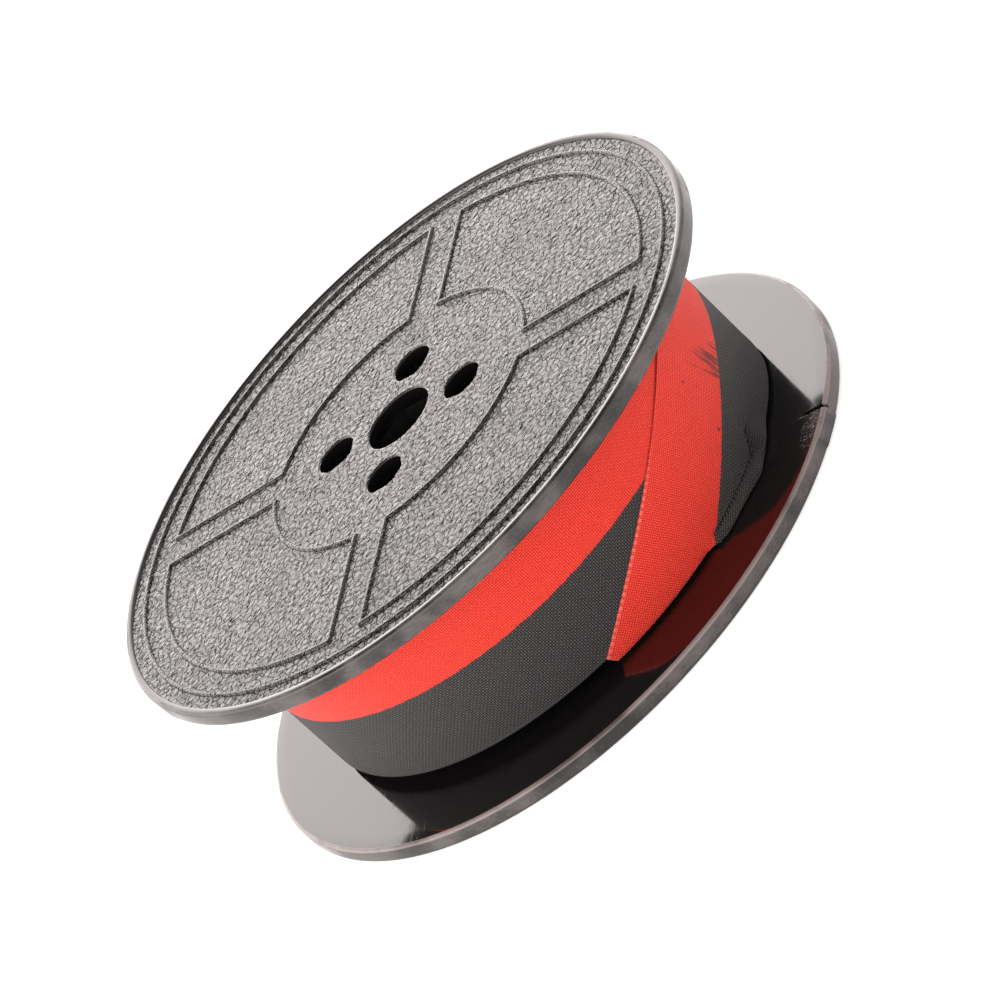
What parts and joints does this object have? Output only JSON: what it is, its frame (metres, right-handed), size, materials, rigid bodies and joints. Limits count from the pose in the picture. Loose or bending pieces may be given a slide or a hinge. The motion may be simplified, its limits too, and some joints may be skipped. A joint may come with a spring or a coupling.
{
  "type": "typewriter ribbon spool",
  "caption": "Flanged plastic spool with a spindle bore and drive holes, wound with a two-colour woven ink ribbon whose loose end is tucked under.",
  "frame": {"origin": "centre of the lower rim's plane, on the spindle bore's axis", "axes": "+Z along the bore axis towards the upper flange; +X through one drive hole and along the spoke beside the moulding gate"},
  "size_m": [0.0541, 0.054, 0.0176],
  "materials": {
    "flange_plastic": "black polystyrene, fine leather grain on the outer faces and polished on the inner faces",
    "hub_plastic": "black polystyrene as moulded",
    "ribbon": "inked plain-weave cloth, red along the upper half and black along the lower half",
    "eyelet_metal": "rolled, slightly dull"
  },
  "bodies": {
    "root": {"upper_flange": "flange_plastic", "lower_flange": "flange_plastic", "hub": "hub_plastic", "ribbon_roll": "ribbon", "ribbon_end": "ribbon", "outer_eyelet": "eyelet_metal", "inner_eyelet": "eyelet_metal"}
  },
  "joints": []
}
